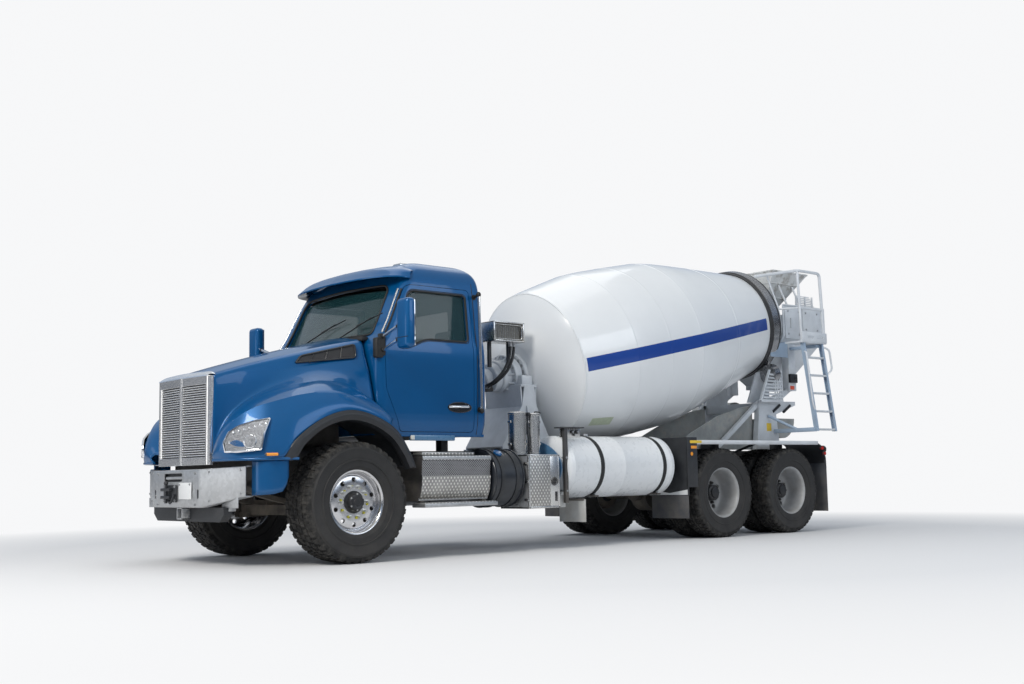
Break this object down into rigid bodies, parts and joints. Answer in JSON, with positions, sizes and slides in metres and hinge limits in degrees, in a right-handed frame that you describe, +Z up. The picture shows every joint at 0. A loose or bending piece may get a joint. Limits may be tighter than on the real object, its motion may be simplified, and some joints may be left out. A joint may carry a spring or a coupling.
{
  "type": "concrete mixer truck",
  "caption": "Concrete mixer truck with a blue conventional cab, a tilted white drum, twin rear axles, hoppers, a ladder and a folding chute.",
  "frame": {"origin": "on the road under the middle of the truck's length and width", "axes": "+Z up, -Y towards the front bumper, +X towards the driver's side"},
  "size_m": [3, 9.51, 3.5047],
  "materials": {
    "cab_blue": "gloss",
    "frame_grey": "satin",
    "white_paint": "gloss",
    "galvanised": "satin",
    "polished": "polished",
    "tread_plate": "satin",
    "chrome_trim": "polished",
    "black_paint": "satin",
    "cast": "matte",
    "tyre_rubber": "matte",
    "black_rubber": "matte",
    "dark_plastic": "matte",
    "seat_cloth": "matte",
    "window": "clear",
    "lamp_lens": "clear",
    "amber": "gloss",
    "red_lens": "gloss",
    "ring_steel": "satin"
  },
  "bodies": {
    "chassis": {"frame_rails": "frame_grey", "front_bumper": "galvanised", "bumper_ends": "cab_blue", "engine": "cast", "front_axle": "cast", "drive_axles": "cast", "cab_shell": "cab_blue", "cab_glass": "window", "seats": "seat_cloth", "dashboard": "dark_plastic", "sun_visor": "cab_blue", "roof_lamps": "amber", "mirrors": "cab_blue", "grab_bars": "polished", "cab_steps": "tread_plate", "side_tanks": "black_paint", "toolbox": "tread_plate", "canisters": "polished", "water_tank": "white_paint", "front_pedestal": "white_paint", "drum_gearbox": "white_paint", "oil_cooler": "black_paint", "rear_pedestal": "white_paint", "charge_hopper": "galvanised", "discharge_hopper": "white_paint", "ladder": "white_paint", "rear_fenders": "black_paint"},
    "hood_body": {"hood": "cab_blue", "hood_flares": "dark_plastic", "grille": "chrome_trim", "headlamps": "lamp_lens"},
    "left_door": {"door_left": "cab_blue", "door_left_glass": "window"},
    "right_door": {"door_right": "cab_blue", "door_right_glass": "window"},
    "left_knuckle": {"knuckle_left": "cast"},
    "right_knuckle": {"knuckle_right": "cast"},
    "front_left_wheel": {"tyre_front_left": "tyre_rubber", "rim_front_left": "polished"},
    "front_right_wheel": {"tyre_front_right": "tyre_rubber", "rim_front_right": "polished"},
    "drive_1_left_wheels": {"tyres_drive_1_left": "tyre_rubber", "rims_drive_1_left": "white_paint"},
    "drive_1_right_wheels": {"tyres_drive_1_right": "tyre_rubber", "rims_drive_1_right": "white_paint"},
    "drive_2_left_wheels": {"tyres_drive_2_left": "tyre_rubber", "rims_drive_2_left": "white_paint"},
    "drive_2_right_wheels": {"tyres_drive_2_right": "tyre_rubber", "rims_drive_2_right": "white_paint"},
    "mixing_drum": {"drum": "white_paint", "drum_blades": "ring_steel", "drum_ring": "ring_steel"},
    "left_roller": {"roller_left": "ring_steel"},
    "right_roller": {"roller_right": "ring_steel"},
    "toolbox_lid": {"toolbox_door": "tread_plate"},
    "swivel": {"chute_swivel": "frame_grey"},
    "chute": {"main_chute": "white_paint"},
    "extension": {"fold_chute": "white_paint"}
  },
  "joints": [
    {"name": "hood_tilt", "type": "hinge", "parent": "chassis", "child": "hood_body", "pos_m": [0, -4.575, 0.98], "axis": [1, 0, 0], "range_deg": [0, 60]},
    {"name": "left_door_swing", "type": "hinge", "parent": "chassis", "child": "left_door", "pos_m": [1.04, -3.065, 1.7], "axis": [0, 0, -1], "range_deg": [0, 65]},
    {"name": "right_door_swing", "type": "hinge", "parent": "chassis", "child": "right_door", "pos_m": [-1.04, -3.065, 1.7], "axis": [0, 0, 1], "range_deg": [0, 65]},
    {"name": "left_steer", "type": "hinge", "parent": "chassis", "child": "left_knuckle", "pos_m": [0.85, -3.495, 0.556], "axis": [0, 0, 1], "range_deg": [-30, 30]},
    {"name": "right_steer", "type": "hinge", "parent": "chassis", "child": "right_knuckle", "pos_m": [-0.85, -3.495, 0.556], "axis": [0, 0, 1], "range_deg": [-30, 30]},
    {"name": "front_left_spin", "type": "hinge", "parent": "left_knuckle", "child": "front_left_wheel", "pos_m": [1.02, -3.495, 0.556], "axis": [1, 0, 0], "continuous": true},
    {"name": "front_right_spin", "type": "hinge", "parent": "right_knuckle", "child": "front_right_wheel", "pos_m": [-1.02, -3.495, 0.556], "axis": [1, 0, 0], "continuous": true},
    {"name": "drive_1_left_spin", "type": "hinge", "parent": "chassis", "child": "drive_1_left_wheels", "pos_m": [0.915, 1.695, 0.527], "axis": [1, 0, 0], "continuous": true},
    {"name": "drive_1_right_spin", "type": "hinge", "parent": "chassis", "child": "drive_1_right_wheels", "pos_m": [-0.915, 1.695, 0.527], "axis": [1, 0, 0], "continuous": true},
    {"name": "drive_2_left_spin", "type": "hinge", "parent": "chassis", "child": "drive_2_left_wheels", "pos_m": [0.915, 3.015, 0.527], "axis": [1, 0, 0], "continuous": true},
    {"name": "drive_2_right_spin", "type": "hinge", "parent": "chassis", "child": "drive_2_right_wheels", "pos_m": [-0.915, 3.015, 0.527], "axis": [1, 0, 0], "continuous": true},
    {"name": "drum_spin", "type": "hinge", "parent": "chassis", "child": "mixing_drum", "pos_m": [0, -0.249, 2.01], "axis": [0, 0.9799, 0.1994], "continuous": true},
    {"name": "left_roller_spin", "type": "hinge", "parent": "chassis", "child": "left_roller", "pos_m": [0.50033, 3.60737, 2.0654], "axis": [0, 0.9799, 0.1994], "continuous": true},
    {"name": "right_roller_spin", "type": "hinge", "parent": "chassis", "child": "right_roller", "pos_m": [-0.50033, 3.60737, 2.0654], "axis": [0, 0.9799, 0.1994], "continuous": true},
    {"name": "toolbox_swing", "type": "hinge", "parent": "chassis", "child": "toolbox_lid", "pos_m": [1.214, -1.4115, 0.7], "axis": [0, 0, -1], "range_deg": [0, 100]},
    {"name": "chute_turn", "type": "hinge", "parent": "chassis", "child": "swivel", "pos_m": [0, 4.165, 1.1], "axis": [0, 0, -1], "range_deg": [0, 150]},
    {"name": "chute_tip", "type": "hinge", "parent": "swivel", "child": "chute", "pos_m": [0, 4.165, 1.165], "axis": [0, -1, 0], "range_deg": [0, 20]},
    {"name": "chute_fold", "type": "hinge", "parent": "chute", "child": "extension", "pos_m": [-1.2, 4.165, 1.49015], "axis": [0, -1, 0], "range_deg": [0, 180]}
  ],
  "couplings": [
    {"joint": "right_steer", "follows": "left_steer", "ratio": 1},
    {"joint": "left_roller_spin", "follows": "drum_spin", "ratio": -5.7077},
    {"joint": "right_roller_spin", "follows": "drum_spin", "ratio": -5.7077}
  ]
}
